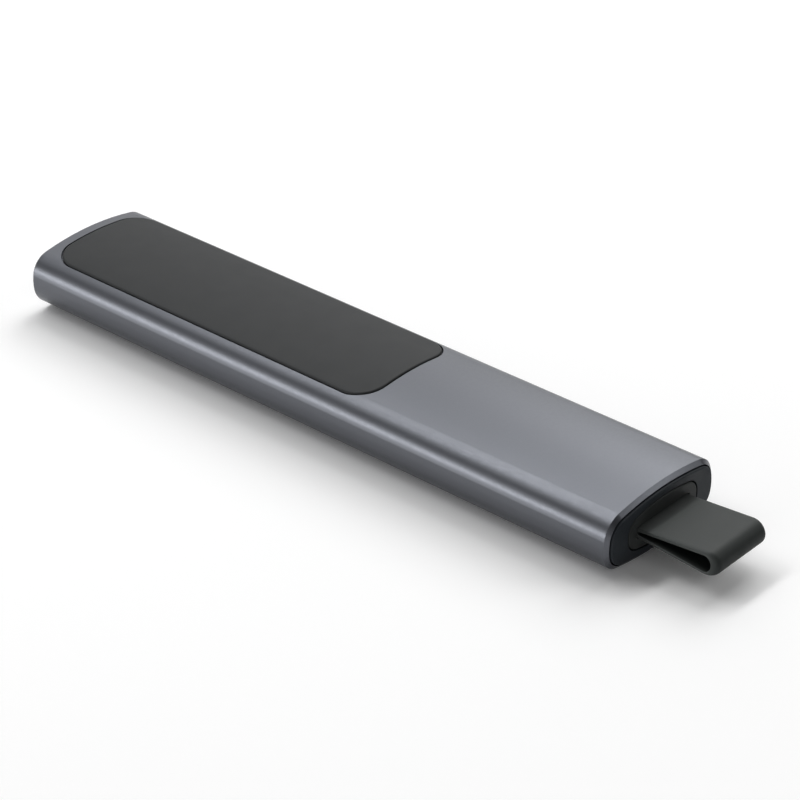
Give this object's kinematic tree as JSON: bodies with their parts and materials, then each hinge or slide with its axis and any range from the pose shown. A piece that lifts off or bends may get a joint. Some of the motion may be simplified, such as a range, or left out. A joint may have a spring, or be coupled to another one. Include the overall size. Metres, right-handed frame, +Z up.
{
  "type": "wireless presentation clicker",
  "caption": "Slim crowned aluminium tube with a soft-touch back panel, press buttons underneath, and a USB receiver that pulls out of the tail by a rubbery loop.",
  "frame": {"origin": "bottom centre of the whole object, on the flat land that it lies on", "axes": "+X is the width, +Y points from the loop at the tail to the nose, and +Z points up through the back panel, away from the buttons"},
  "size_m": [0.028, 0.147, 0.012],
  "materials": {
    "case_aluminium": "fine bead-blasted, slate-grey anodised",
    "soft_touch": "dark grey soft-touch coat",
    "adhesive": "thin black adhesive film",
    "tail_plastic": "fine moulded texture",
    "receiver_plastic": "fine moulded texture",
    "frame_plastic": "plain moulded",
    "button_plastic": "soft matt, dished",
    "plunger_plastic": "plain",
    "switch_plastic": "plain",
    "strap_rubber": "satin moulded rubber",
    "screw_steel": "dark passivated",
    "plug_steel": "stamped and polished",
    "shield_metal": "stamped",
    "motor_steel": "drawn",
    "weight_metal": "sintered",
    "nickel_strip": "plain",
    "contact_gold": "gold plated",
    "board_laminate": "solder mask",
    "chip_black": "plain",
    "antenna_ceramic": "plain",
    "cell_foil": "laminated pouch",
    "foam_pad": "foam tape",
    "tongue_plastic": "plain",
    "led_body": "plain",
    "clear_pipe": "clear moulded"
  },
  "bodies": {
    "case": {"outer_shell": "case_aluminium", "back_panel": "soft_touch", "panel_adhesive": "adhesive", "tail_plate": "tail_plastic", "chassis": "frame_plastic", "chassis_screws": "screw_steel", "board_screws": "screw_steel", "main_board": "board_laminate", "usb_socket_shell": "plug_steel", "usb_socket_tongue": "tongue_plastic", "radio_shield": "shield_metal", "processor_chip": "chip_black", "quartz_crystal": "shield_metal", "motion_sensor": "chip_black", "chip_antenna": "antenna_ceramic", "charger_chip": "chip_black", "battery_cell": "cell_foil", "battery_pad": "foam_pad", "battery_tabs": "nickel_strip", "status_led": "led_body", "light_pipe": "clear_pipe", "motor_can": "motor_steel", "motor_bracket": "motor_steel", "receiver_bay": "frame_plastic", "bay_springs": "nickel_strip", "pointer_switch": "switch_plastic", "pointer_dome": "nickel_strip", "next_switch": "switch_plastic", "next_dome": "nickel_strip", "back_switch": "switch_plastic", "back_dome": "nickel_strip"},
    "pointer_button": {"pointer_cap": "button_plastic", "pointer_plunger": "plunger_plastic"},
    "next_button": {"next_cap": "button_plastic", "next_plunger": "plunger_plastic"},
    "back_button": {"back_cap": "button_plastic", "back_plunger": "plunger_plastic"},
    "receiver": {"receiver_body": "receiver_plastic", "plug_shell": "plug_steel", "plug_tongue": "tongue_plastic", "plug_contacts": "contact_gold", "receiver_board": "board_laminate", "receiver_chip": "chip_black", "strap_loop": "strap_rubber", "strap_pin": "screw_steel"},
    "motor_rotor": {"motor_shaft": "motor_steel", "motor_weight": "weight_metal"}
  },
  "joints": [
    {"name": "pointer_press", "type": "slide", "parent": "case", "child": "pointer_button", "axis": [0, 0, 1], "range_m": [0, 0.00035], "stiffness_N_per_m": 1500, "springref_m": -0.0002},
    {"name": "next_press", "type": "slide", "parent": "case", "child": "next_button", "axis": [0, 0, 1], "range_m": [0, 0.00035], "stiffness_N_per_m": 1500, "springref_m": -0.0002},
    {"name": "back_press", "type": "slide", "parent": "case", "child": "back_button", "axis": [0, 0, 1], "range_m": [0, 0.00035], "stiffness_N_per_m": 1500, "springref_m": -0.0002},
    {"name": "receiver_pull", "type": "slide", "parent": "case", "child": "receiver", "axis": [0, -1, 0], "range_m": [0, 0.03]},
    {"name": "motor_spin", "type": "hinge", "parent": "case", "child": "motor_rotor", "pos_m": [0.00733, -0.02117, 0.00647], "axis": [0, 1, 0], "continuous": true}
  ]
}
